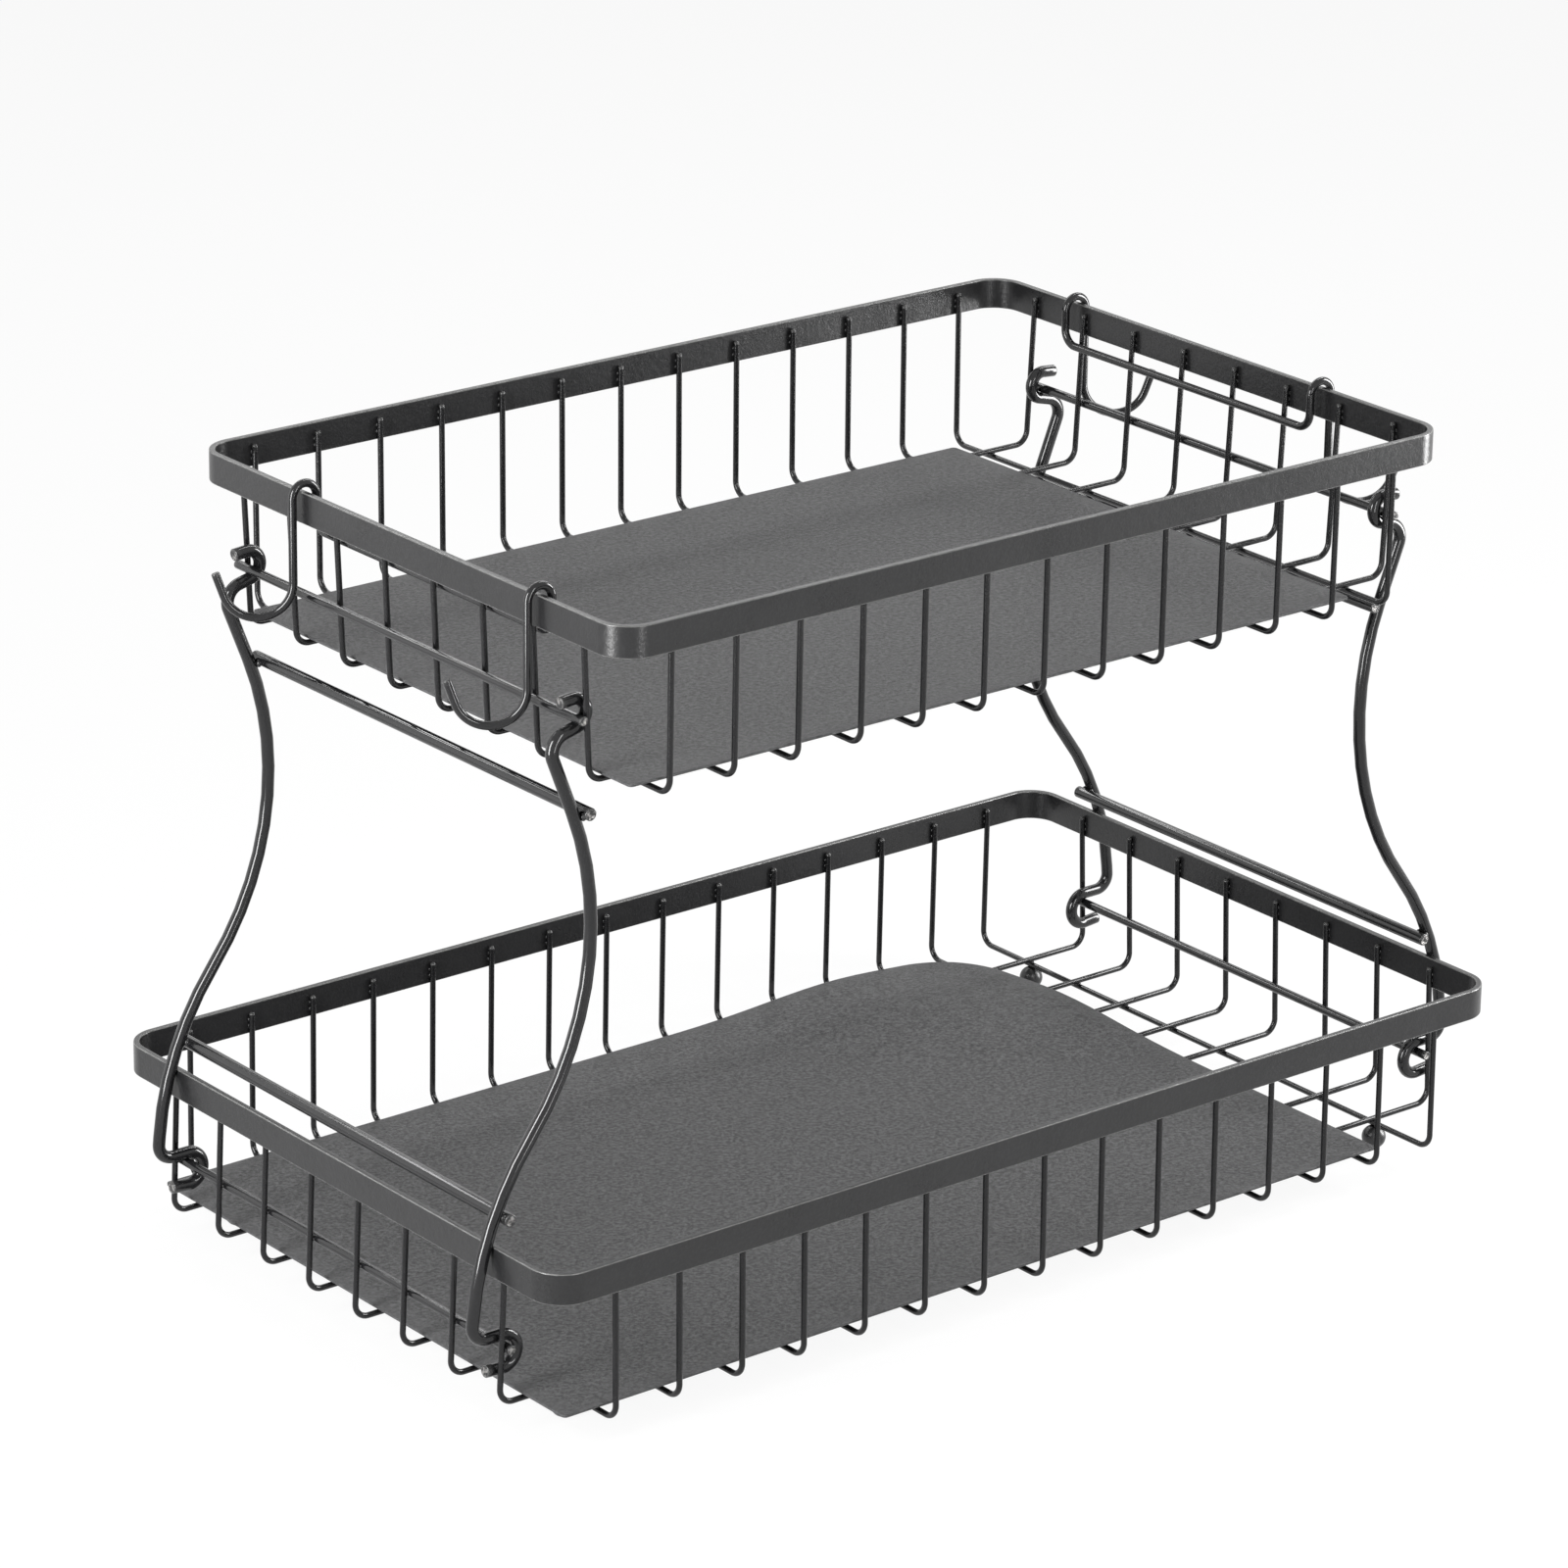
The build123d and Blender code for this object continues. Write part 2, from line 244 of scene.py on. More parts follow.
class Network:
    """A node tree whose nodes are made by plain calls."""

    def __init__(self, tree):
        self.tree = tree
        tree.nodes.clear()

    def node(self, kind, settings=None, sockets=None, out=0):
        """Adds a node: its settings first, then its sockets' values or links."""
        made = self.tree.nodes.new(kind)
        for key, value in (settings or {}).items():
            if key == "stops":
                for spare in list(made.color_ramp.elements)[1:]:
                    made.color_ramp.elements.remove(spare)
                made.color_ramp.elements[0].position = value[0][0]
                made.color_ramp.elements[0].color = (*[value[0][1]] * 3, 1)
                for place, level in value[1:]:
                    made.color_ramp.elements.new(place).color = (*[level] * 3, 1)
            else:
                setattr(made, key, value)
        for key, value in (sockets or {}).items():
            if isinstance(value, Signal):
                self.tree.links.new(value.socket, made.inputs[key])
            else:
                made.inputs[key].default_value = value
        return Signal(self, made.outputs[out])

    def end(self, kind, shader):
        """Links a shader to the tree's output."""
        output = self.tree.nodes.new(kind)
        self.tree.links.new(shader.socket, output.inputs["Surface"])

    def seen_plainly(self):
        """1 for what the eye, a gloss or a glass sees, and 0 for light on its way elsewhere."""
        eye, gloss, glass = (
            self.node("ShaderNodeLightPath", out=ray)
            for ray in ("Is Camera Ray", "Is Glossy Ray", "Is Transmission Ray")
        )
        return eye + gloss + glass


class Finish(Network):
    """A material with the noises, ramps and bumps that its finish needs."""

    def __init__(self, name):
        self.material = bpy.data.materials.new(name)
        self.material.use_nodes = True
        super().__init__(self.material.node_tree)

    def place(self):
        """Points on the piece, in metres."""
        return self.node("ShaderNodeTexCoord", out="Object")

    def noise(self, grain, detail=2.0, rough=0.5, stretch=(1, 1, 1)):
        """Cloudy noise whose lumps are about as wide as the grain, from 0 to 1."""
        where = self.node(
            "ShaderNodeMapping",
            {"vector_type": "POINT"},
            {"Vector": self.place(), "Scale": stretch},
        )
        return self.node(
            "ShaderNodeTexNoise",
            {},
            {"Vector": where, "Scale": 1 / grain, "Detail": detail, "Roughness": rough},
        )

    def ramp(self, signal, *stops):
        """A signal passed through grey stops."""
        return self.node("ShaderNodeValToRGB", {"stops": stops}, {"Fac": signal})

    def mix(self, mask, first, second):
        """From the first colour to the second, where the mask rises from 0 to 1."""
        colours = [c if isinstance(c, Signal) else (*c, 1) for c in (first, second)]
        return self.node(
            "ShaderNodeMix", {"data_type": "RGBA"}, {0: mask, 6: colours[0], 7: colours[1]}, out=2
        )

    def edge_wear(self):
        """How thin the piece's coat is, from 0 to 1, and on the rims' rolled edges how strong the
        painted highlight is.
        """
        return self.node("ShaderNodeAttribute", {"attribute_name": "wear"}, out="Fac")

    def bump(self, height, distance, under=None):
        """A normal roughened by a height, on top of another bump."""
        sockets = {"Height": height, "Distance": distance, "Strength": 1.0}
        if under is not None:
            sockets["Normal"] = under
        return self.node("ShaderNodeBump", {}, sockets)

    def surface(self, **sockets):
        """Closes the material with a principled surface."""
        named = {key.replace("_", " ").title(): value for key, value in sockets.items()}
        if "Specular" in named:
            named["Specular IOR Level"] = named.pop("Specular")
        shader = self.node("ShaderNodeBsdfPrincipled", {}, named)
        self.end("ShaderNodeOutputMaterial", shader)
        return self.material


def scaled(colour, factor):
    """A colour made lighter or darker."""
    return tuple(min(1.0, part * factor) for part in colour)


def powder_coat(looks, name, colour, roughness, gloss, grain, relief, peel):
    """Powder coat on steel: fine grain, soft orange peel, cloudy tone, and thin edges that are
    partly real wear and partly a painted highlight.
    """
    coat = Finish(name)
    cloud = coat.noise(18 * MM, detail=3.0, rough=0.55)
    speck = coat.noise(grain, detail=3.0, rough=0.6)
    rubs = coat.ramp(coat.noise(4 * MM, detail=4.0, rough=0.6), (0.35, 0.55), (0.7, 1.0))
    rubbed_and_highlit = coat.edge_wear() * rubs
    clouded = coat.ramp(cloud, (0.3, 0.0), (0.7, 1.0))
    tone = coat.mix(clouded, scaled(colour, 0.85), scaled(colour, 1.15))
    tone = coat.mix(coat.ramp(speck, (0.48, 0.0), (0.78, 1.0)), tone, scaled(colour, 1.7))
    # Lighter coat along the wear layer: real wear at cut ends and welds, and a painted highlight on
    # the rims' rolled edges.
    tone = coat.mix(rubbed_and_highlit * looks.wear, tone, tuple(looks.thin_coat_and_highlight_colour))
    dull = roughness - 0.05 + cloud * 0.06 + speck * 0.06 - rubbed_and_highlit * 0.05
    normal = coat.bump(speck, relief)
    normal = coat.bump(coat.noise(peel, detail=1.0, rough=0.4), relief, under=normal)
    return coat.surface(base_color=tone, roughness=dull, normal=normal, specular=gloss)


def cut_end_steel(looks):
    """Cut ends: bare steel with shear marks, and patches of coat."""
    steel = Finish("Cut end steel")
    patches = steel.ramp(steel.noise(1.6 * MM, detail=3.0, rough=0.6), (0.38, 0.0), (0.52, 1.0))
    marks = steel.noise(0.9 * MM, detail=4.0, rough=0.6, stretch=(1.0, 1.0, 3.0))
    bare = steel.mix(marks, scaled(looks.cut_colour, 0.6), scaled(looks.cut_colour, 1.3))
    return steel.surface(
        base_color=steel.mix(patches, bare, tuple(looks.frame_colour)),
        metallic=1 - patches * 0.9,
        roughness=0.24 + marks * 0.2,
        normal=steel.bump(marks, 0.25 * MM),
    )


def liner_sheet(looks):
    """A stiff grained sheet: frosted grain, faint mottling and a paler cut edge."""
    colour = tuple(looks.liner_colour)
    sheet = Finish("Liner sheet")
    grain = sheet.noise(1.5 * MM, detail=5.0, rough=0.8)
    mottle = sheet.noise(22 * MM, detail=3.0, rough=0.5)
    mottled = sheet.ramp(mottle, (0.3, 0.0), (0.7, 1.0))
    peaks = sheet.ramp(grain, (0.44, 0.0), (0.62, 1.0))
    pits = sheet.ramp(grain, (0.34, 1.0), (0.46, 0.0))
    tone = sheet.mix(mottled, scaled(colour, 0.94), scaled(colour, 1.06))
    tone = sheet.mix(peaks, tone, scaled(colour, 3.0))
    tone = sheet.mix(pits, tone, scaled(colour, 0.4))
    tone = sheet.mix(sheet.edge_wear() * 0.6, tone, scaled(colour, 1.9))
    return sheet.surface(
        base_color=tone,
        roughness=looks.liner_roughness - 0.04 + grain * 0.1 + mottle * 0.04,
        normal=sheet.bump(grain, 0.4 * MM),
        specular=0.18,
    )


def gloss_ball(looks):
    """The ball feet: moulded gloss black with faint marks."""
    ball = Finish("Ball foot gloss")
    cloud = ball.noise(3 * MM, detail=3.0, rough=0.5)
    marks = ball.noise(1.2 * MM, detail=2.0, rough=0.5)
    return ball.surface(
        base_color=ball.mix(cloud, scaled(looks.foot_colour, 0.8), scaled(looks.foot_colour, 1.5)),
        roughness=0.27 + cloud * 0.12,
        normal=ball.bump(marks, 0.02 * MM),
        specular=0.5,
    )


def rim_coat(looks):
    """The rims' satin coat."""
    return powder_coat(
        looks,
        "Rim coat",
        looks.rim_colour,
        looks.rim_roughness,
        gloss=0.45,
        grain=0.9 * MM,
        relief=0.06 * MM,
        peel=2.4 * MM,
    )


def wire_coat(looks):
    """The basket wires' smoother coat."""
    return powder_coat(
        looks,
        "Wire coat",
        looks.wire_colour,
        looks.wire_roughness,
        gloss=0.32,
        grain=0.6 * MM,
        relief=0.008 * MM,
        peel=2.0 * MM,
    )


def frame_coat(looks, name="Frame coat", peel=2.4 * MM):
    """The glossier coat of legs, rods and racks."""
    return powder_coat(
        looks,
        name,
        looks.frame_colour,
        looks.frame_roughness,
        gloss=0.42,
        grain=0.6 * MM,
        relief=0.008 * MM,
        peel=peel,
    )


def hook_coat(looks):
    """The racks' coat, with a finer orange peel than the legs'."""
    return frame_coat(looks, "Hook coat", 2.1 * MM)


FINISHES = {
    "rim_coat": rim_coat,
    "wire_coat": wire_coat,
    "frame_coat": frame_coat,
    "hook_coat": hook_coat,
    "liner": liner_sheet,
    "foot": gloss_ball,
    "cut_end": cut_end_steel,
}
MADE = {}


def finish(slot):
    """The material of a finish, made the first time it is asked for."""
    if slot not in MADE:
        MADE[slot] = FINISHES[slot](bpy.context.scene.finish_looks)
    return MADE[slot]


# Routes and bars

CLOSE = 1e-6
ARC_STEP = radians(6)


def turned(heading):
    """The direction of a heading in a flat drawing."""
    return Vector((cos(heading), sin(heading)))


def arc(centre, start, towards, turn):
    """Points round a centre: from its start arm, turning towards the other arm."""
    steps = max(2, ceil(turn / ARC_STEP))
    return [
        centre + start * cos(turn * i / steps) + towards * sin(turn * i / steps)
        for i in range(steps + 1)
    ]


def bent_route(point, heading, steps):
    """Straights and tangent arcs in a flat drawing: a length, or a radius and a turn."""
    points = [Vector(point)]
    for step in steps:
        ahead = turned(heading)
        if isinstance(step, tuple):
            radius, turn = step
            side = 1 if turn > 0 else -1
            left = Vector((-ahead.y, ahead.x)) * side
            centre = points[-1] + left * radius
            points += arc(centre, -left * radius, ahead * radius, abs(turn))[1:]
            heading += turn
        else:
            points.append(points[-1] + ahead * step)
    return points


def filleted(points, radius):
    """A flat route with its inner corners rounded."""
    route = [Vector(points[0])]
    for before, corner, after in zip(points, points[1:], points[2:]):
        corner = Vector(corner)
        back = (Vector(before) - corner).normalized()
        on = (Vector(after) - corner).normalized()
        half = acos(max(-1.0, min(1.0, back.dot(on)))) / 2
        inward = (back + on).normalized()
        centre = corner + inward * (radius / sin(half))
        start = corner + back * (radius * cos(half) / sin(half)) - centre
        end = corner + on * (radius * cos(half) / sin(half)) - centre
        turn = pi - 2 * half
        towards = (end - start * cos(turn)) / sin(turn)
        route += arc(centre, start, towards, turn)
    return [*route, Vector(points[-1])]


# Rings of a rounded bar end: how far in and how much narrower, as shares of the rounding
END_RINGS = ((0.0, 1.0), (0.09, 0.49), (0.49, 0.09))
CAP_SLOT = 1  # The cut end's place among a bar's finishes
END_WEAR = 0.35
SHOULDER_WEAR = 0.15
BEAD_WEAR = 0.05
WHOLE_COAT = 0.6  # Diameters from the end to where the coat is whole
BEAD_SEGMENTS, BEAD_RINGS = 8, 6


def wear_layer(mesh):
    """The mesh's layer that says where the coat is thin, from 0 to 1, and where the rims' edge
    highlight is painted.
    """
    return mesh.verts.layers.float.get("wear") or mesh.verts.layers.float.new("wear")


def bar_mesh(mesh, points, diameter, sides, end_round):
    """Adds a round bar along points to a mesh, its ends rounded by a share of its radius."""
    radius = diameter / 2
    wear = wear_layer(mesh)
    points = [p for i, p in enumerate(points) if i == 0 or (p - points[i - 1]).length > CLOSE]
    tangents = []
    for i in range(len(points)):
        before = points[i] - points[i - 1] if i else points[1] - points[0]
        after = points[i + 1] - points[i] if i + 1 < len(points) else before
        tangents.append((before.normalized() + after.normalized()).normalized())
    side = tangents[0].orthogonal().normalized()
    rounding = radius * end_round
    rings = []

    def ring(centre, tangent, size, worn):
        nonlocal side
        side = (side - tangent * side.dot(tangent)).normalized()
        other = tangent.cross(side)
        made = []
        for k in range(sides):
            angle = 2 * pi * k / sides
            vert = mesh.verts.new(centre + (side * cos(angle) + other * sin(angle)) * size)
            vert[wear] = worn
            made.append(vert)
        rings.append(made)

    first, last = tangents[0], tangents[-1]
    for inset, shrink in END_RINGS:
        centre = points[0] + first * rounding * inset
        ring(centre, first, radius - rounding * shrink, END_WEAR)
    ring(points[0] + first * rounding, first, radius, SHOULDER_WEAR)
    ring(points[0] + first * diameter * WHOLE_COAT, first, radius, 0.0)
    for centre, tangent in zip(points[1:-1], tangents[1:-1]):
        ring(centre, tangent, radius, 0.0)
    ring(points[-1] - last * diameter * WHOLE_COAT, last, radius, 0.0)
    ring(points[-1] - last * rounding, last, radius, SHOULDER_WEAR)
    for inset, shrink in reversed(END_RINGS):
        centre = points[-1] - last * rounding * inset
        ring(centre, last, radius - rounding * shrink, END_WEAR)
    for one, two in zip(rings, rings[1:]):
        for k in range(sides):
            face = mesh.faces.new((one[k], one[(k + 1) % sides], two[(k + 1) % sides], two[k]))
            face.smooth = True
    for cap in (list(reversed(rings[0])), rings[-1]):
        face = mesh.faces.new(cap)
        face.material_index = CAP_SLOT


def bead(mesh, centre, size):
    """Adds a small weld bead to a mesh."""
    wear = wear_layer(mesh)
    place = Matrix.Translation(centre) @ Matrix.Diagonal((*size, 1))
    made = bmesh.ops.create_uvsphere(
        mesh, u_segments=BEAD_SEGMENTS, v_segments=BEAD_RINGS, radius=0.5, matrix=place
    )
    for vert in made["verts"]:
        vert[wear] = BEAD_WEAR
        for face in vert.link_faces:
            face.smooth = True


def piece(name, mesh, body, slot, nodes=(), finishes=None):
    """Makes a piece from a mesh, lets it ride on its body and stand for its CAD nodes."""
    bmesh.ops.recalc_face_normals(mesh, faces=mesh.faces)
    data = bpy.data.meshes.new(name)
    mesh.to_mesh(data)
    mesh.free()
    for each in finishes or (slot, "cut_end"):
        data.materials.append(finish(each))
    made = bpy.data.objects.new(name, data)
    bpy.context.scene.collection.objects.link(made)
    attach(made, body)
    if nodes:
        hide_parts(*nodes)
    return made


def rim_box(tier):
    """A rim's length, width, bottom and top."""
    low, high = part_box(f"{tier}_rim")
    return high.x - low.x, high.y - low.y, low.z, high.z


def floor_height(tier):
    """The height of the cross wires' middle under a basket."""
    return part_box(f"{tier}_cross_wire_01")[0].z + bpy.context.scene.basket_sizes.wire_diameter / 2


def wire_reach(size):
    """Half the distance between a wire's two tops, inside a rim of this size."""
    sizes = bpy.context.scene.basket_sizes
    return size / 2 - sizes.strip_thickness - sizes.weld_gap - sizes.wire_diameter / 2


def wire_top(tier):
    """The height of the wires' ends behind a rim."""
    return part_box(f"{tier}_cross_wire_01")[1].z


def long_wire_lift():
    """How far the long wires' middles lie above the cross wires' middles."""
    sizes = bpy.context.scene.basket_sizes
    return sizes.wire_diameter + sizes.weld_gap


def leans(tier):
    """How far a basket's end and side walls lean in at the floor."""
    sizes = bpy.context.scene.basket_sizes
    if tier == "lower":
        return -sizes.lower_end_lean, -sizes.lower_side_lean
    return sizes.upper_end_lean, sizes.upper_side_lean


def u_route(size, lean_in, top, floor):
    """The flat route of a wire down one wall, across the floor and up the other."""
    reach = wire_reach(size)
    low = reach - lean_in
    return filleted(
        [(-reach, top), (-low, floor), (low, floor), (reach, top)],
        bpy.context.scene.basket_sizes.wire_bend,
    )


def middle(node):
    """The middle of a node's box."""
    low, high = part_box(node)
    return (low + high) / 2


# Rims

# The corners of a rectangle: the signs of x and y, and where the corner's arc starts
CORNERS = ((1, 1, 0.0), (-1, 1, 0.5 * pi), (-1, -1, pi), (1, -1, 1.5 * pi))
RIM_CORNER_STEPS = 16
# How much lighter each point round the strip's section is: the rolled edges carry wear and a
# painted highlight line.
ROLLED_WEAR_AND_HIGHLIGHT = (0.0, 0.7, 1.0, 1.0, 0.7, 0.0)


def arc_angles(start, steps):
    """Angles of a quarter turn, from its start to its end."""
    return [start + i * pi / 2 / steps for i in range(steps + 1)]


class BASKET_OT_rims(Operator):
    """Bends each rim from a flat strip with rolled edges"""

    bl_idname = "basket.rims"
    bl_label = "Rims"

    def execute(self, context):
        sizes = context.scene.basket_sizes
        for tier in TIERS:
            length, width, bottom, top = rim_box(tier)
            mesh = bmesh.new()
            wear = wear_layer(mesh)
            edge = sizes.strip_edge
            inner = -sizes.strip_thickness + edge
            section = []
            for across, height, start in (
                (inner, bottom + edge, pi),
                (-edge, bottom + edge, 1.5 * pi),
                (-edge, top - edge, 0.0),
                (inner, top - edge, 0.5 * pi),
            ):
                # The rolled edges get the lighter coat: partly wear, partly a painted highlight.
                angles = arc_angles(start, len(ROLLED_WEAR_AND_HIGHLIGHT) - 1)
                for angle, worn in zip(angles, ROLLED_WEAR_AND_HIGHLIGHT):
                    section.append((across + edge * cos(angle), height + edge * sin(angle), worn))
            corner = sizes.rim_corner
            rings = []
            for sx, sy, start in CORNERS:
                centre = Vector((sx * (length / 2 - corner), sy * (width / 2 - corner), 0))
                for angle in arc_angles(start, RIM_CORNER_STEPS):
                    out = Vector((cos(angle), sin(angle), 0))
                    ring = []
                    for across, height, worn in section:
                        place = centre + out * (corner + across) + Vector((0, 0, height))
                        vert = mesh.verts.new(place)
                        vert[wear] = worn
                        ring.append(vert)
                    rings.append(ring)
            for one, two in zip(rings, rings[1:] + rings[:1]):
                for k in range(len(section)):
                    j = (k + 1) % len(section)
                    mesh.faces.new((one[k], one[j], two[j], two[k]))
            soften(piece(f"{tier}_rim_strip", mesh, FRAME_BODY, "rim_coat", [f"{tier}_rim"]))
        return {"FINISHED"}


def soften(made):
    """Keeps flat faces flat beside rounded edges."""
    modifier = made.modifiers.new("Flat faces", "WEIGHTED_NORMAL")
    modifier.keep_sharp = True
    for face in made.data.polygons:
        face.use_smooth = True


# Wires, legs, rods and racks

# How much of its radius each bar's cut ends are rounded by
WIRE_END_ROUND = 0.8
LEG_END_ROUND = 0.22
ROD_END_ROUND = 0.2
RACK_END_ROUND = 0.25


class BASKET_OT_wires(Operator):
    """Bends every crossing wire of both baskets"""

    bl_idname = "basket.wires"
    bl_label = "Basket wires"

    def execute(self, context):
        sizes = context.scene.basket_sizes
        for tier in TIERS:
            length, width = rim_box(tier)[:2]
            end_lean, side_lean = leans(tier)
            top = wire_top(tier)
            floor = floor_height(tier)
            across = u_route(width, side_lean, top, floor)
            for node in node_names(f"{tier}_cross_wire"):
                x = middle(node).x
                mesh = bmesh.new()
                points = [Vector((x, p.x, p.y)) for p in across]
                bar_mesh(mesh, points, sizes.wire_diameter, sizes.wire_sides, WIRE_END_ROUND)
                piece(f"{node}_bar", mesh, FRAME_BODY, "wire_coat", [node])
            along = u_route(length, end_lean, top, floor + long_wire_lift())
            for node in node_names(f"{tier}_long_wire"):
                y = middle(node).y
                mesh = bmesh.new()
                points = [Vector((p.x, y, p.y)) for p in along]
                bar_mesh(mesh, points, sizes.wire_diameter, sizes.wire_sides, WIRE_END_ROUND)
                piece(f"{node}_bar", mesh, FRAME_BODY, "wire_coat", [node])
        return {"FINISHED"}


# Weld beads, in diameters of what they hold: behind a rim along, out and up, and at a crossing
RIM_BEAD = (1.12, 0.45, 0.8)
RIM_BEAD_RISES = (-0.55, 0.55)
CROSSING_BEAD = (1.15, 1.15, 0.5)
CROSSBAR_BEAD = (0.5, 0.42, 0.6)
END_ROD_BEAD = (0.3, 0.8, 0.55)


class BASKET_OT_welds(Operator):
    """Lays the weld beads behind the rims and at the floor crossings"""

    bl_idname = "basket.welds"
    bl_label = "Welds"

    def execute(self, context):
        sizes = context.scene.basket_sizes
        wire = sizes.wire_diameter
        for tier in TIERS:
            length, width, bottom, _ = rim_box(tier)
            height = (bottom + wire_top(tier)) / 2
            rim = bmesh.new()
            crossings = bmesh.new()
            xs = [middle(node).x for node in node_names(f"{tier}_cross_wire")]
            ys = [middle(node).y for node in node_names(f"{tier}_long_wire")]
            inner_y = width / 2 - sizes.strip_thickness
            inner_x = length / 2 - sizes.strip_thickness
            along, out, up = (share * wire for share in RIM_BEAD)
            for rise in RIM_BEAD_RISES:
                level = height + rise * wire
                for x in xs:
                    for y in (-inner_y, inner_y):
                        bead(rim, Vector((x, y, level)), (along, out, up))
                for y in ys:
                    for x in (-inner_x, inner_x):
                        bead(rim, Vector((x, y, level)), (out, along, up))
            level = floor_height(tier) + long_wire_lift() / 2
            crossing = [share * wire for share in CROSSING_BEAD]
            for x in xs:
                for y in ys:
                    bead(crossings, Vector((x, y, level)), crossing)
            piece(f"{tier}_rim_welds", rim, FRAME_BODY, "rim_coat", finishes=["rim_coat"])
            piece(f"{tier}_floor_welds", crossings, FRAME_BODY, "wire_coat", finishes=["wire_coat"])
        return {"FINISHED"}


def leg_nodes():
    """The CAD nodes of the four legs."""
    return [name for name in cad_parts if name.endswith("_leg")]


def leg_route():
    """The right legs' flat route, from the lower hook's tip to the upper hook's tip."""
    sizes = bpy.context.scene.basket_sizes
    leg = bpy.context.scene.leg_sizes
    seat = sizes.leg_diameter / 2 + sizes.weld_gap + sizes.rod_diameter / 2
    lower_low, lower_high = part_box("lower_end_rods")
    upper_low, upper_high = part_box("upper_end_rods")
    reach = sizes.rod_diameter / 2
    lower_rod = Vector((lower_high.x - reach, (lower_low.z + lower_high.z) / 2))
    upper_rod = Vector((upper_high.x - reach, (upper_low.z + upper_high.z) / 2))
    lower_turn = pi + leg.tip_lift
    lower_eye = lower_rod + Vector((0, seat - leg.lower_eye))
    eye_start = lower_eye + turned(lower_turn + pi / 2) * leg.lower_eye
    tip = eye_start - turned(lower_turn) * leg.lower_tip
    elbow = lower_rod + Vector((leg.lower_arm, seat + leg.lower_elbow))
    s_start = elbow + turned(leg.foot_lean) * leg.lower_elbow
    s_start += turned(pi / 2 + leg.foot_lean) * leg.foot_straight
    upper_eye = upper_rod + Vector((0, (leg.upper_eye - seat) / cos(leg.arm_rise)))
    arm_end = upper_eye + turned(1.5 * pi - leg.arm_rise) * leg.upper_eye
    arm_start = arm_end + turned(-leg.arm_rise) * leg.upper_arm
    upper_elbow = arm_start + turned(1.5 * pi - leg.arm_rise) * leg.upper_elbow
    s_end = upper_elbow + turned(-leg.waist_lean) * leg.upper_elbow
    s_end -= turned(pi / 2 - leg.waist_lean) * leg.top_straight
    slope = (s_start.x - s_end.x) / (s_end.y - s_start.y)
    cosines = (cos(leg.foot_lean) + cos(leg.waist_lean)) / 2
    sines = (sin(leg.waist_lean) - sin(leg.foot_lean)) / 2
    peak = atan(slope) + acos((cosines - slope * sines) / sqrt(1 + slope**2))
    radius = (s_end.y - s_start.y) / (2 * (sines + sin(peak)))
    return bent_route(
        tip,
        lower_turn,
        [
            leg.lower_tip,
            (leg.lower_eye, -lower_turn),
            leg.lower_arm,
            (leg.lower_elbow, pi / 2 + leg.foot_lean),
            leg.foot_straight,
            (radius, peak - leg.foot_lean),
            (radius, -peak - leg.waist_lean),
            leg.top_straight,
            (leg.upper_elbow, pi / 2 + leg.waist_lean - leg.arm_rise),
            leg.upper_arm,
            (leg.upper_eye, leg.arm_rise - pi - leg.tip_drop),
            leg.upper_tip,
        ],
    )


class BASKET_OT_legs(Operator):
    """Bends the four legs with their hook eyes"""

    bl_idname = "basket.legs"
    bl_label = "Legs"

    def execute(self, context):
        sizes = context.scene.basket_sizes
        route = leg_route()
        for node in leg_nodes():
            side = -1 if "left" in node else 1
            y = middle(node).y
            mesh = bmesh.new()
            points = [Vector((side * p.x, y, p.y)) for p in route]
            bar_mesh(mesh, points, sizes.leg_diameter, sizes.bar_sides, LEG_END_ROUND)
            piece(f"{node}_bar", mesh, FRAME_BODY, "frame_coat", [node])
        return {"FINISHED"}


# Where a leg touches its crossbar: how far up, for each step outwards
CROSSBAR_TOUCH = {"lower": 0.44, "upper": -0.40}
CROSSBAR_BEAD_SPREAD = 0.42


class BASKET_OT_rods(Operator):
    """Turns the end rods and crossbars with their welds"""

    bl_idname = "basket.rods"
    bl_label = "Rods and crossbars"

    def execute(self, context):
        sizes = context.scene.basket_sizes
        leg_places = sorted({middle(node).y for node in leg_nodes()})
        stock = (("end_rods", sizes.rod_diameter), ("crossbars", sizes.leg_diameter))
        for tier in TIERS:
            for kind, diameter in stock:
                node = f"{tier}_{kind}"
                low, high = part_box(node)
                mesh = bmesh.new()
                beads = bmesh.new()
                height = (low.z + high.z) / 2
                for side in (-1, 1):
                    x = side * (high.x - diameter / 2)
                    ends = [Vector((x, y, height)) for y in (low.y, high.y)]
                    bar_mesh(mesh, ends, diameter, sizes.bar_sides, ROD_END_ROUND)
                    if kind == "crossbars":
                        out = Vector((side, 0, CROSSBAR_TOUCH[tier])).normalized()
                        size = [share * diameter for share in CROSSBAR_BEAD]
                        for y in leg_places:
                            touch = Vector((x, y, height)) + out * (diameter / 2)
                            for along in (-CROSSBAR_BEAD_SPREAD, CROSSBAR_BEAD_SPREAD):
                                bead(beads, touch + Vector((0, along * diameter, 0)), size)
                    else:
                        # The lower rods lie inside the end walls, and the upper ones outside
                        toward = side if tier == "lower" else -side
                        size = [share * diameter for share in END_ROD_BEAD]
                        for wire in node_names(f"{tier}_long_wire"):
                            touch = Vector((x + toward * diameter / 2, middle(wire).y, height))
                            bead(beads, touch, size)
                piece(f"{node}_bars", mesh, FRAME_BODY, "frame_coat", [node])
                piece(f"{node}_welds", beads, FRAME_BODY, "frame_coat", finishes=["frame_coat"])
        return {"FINISHED"}


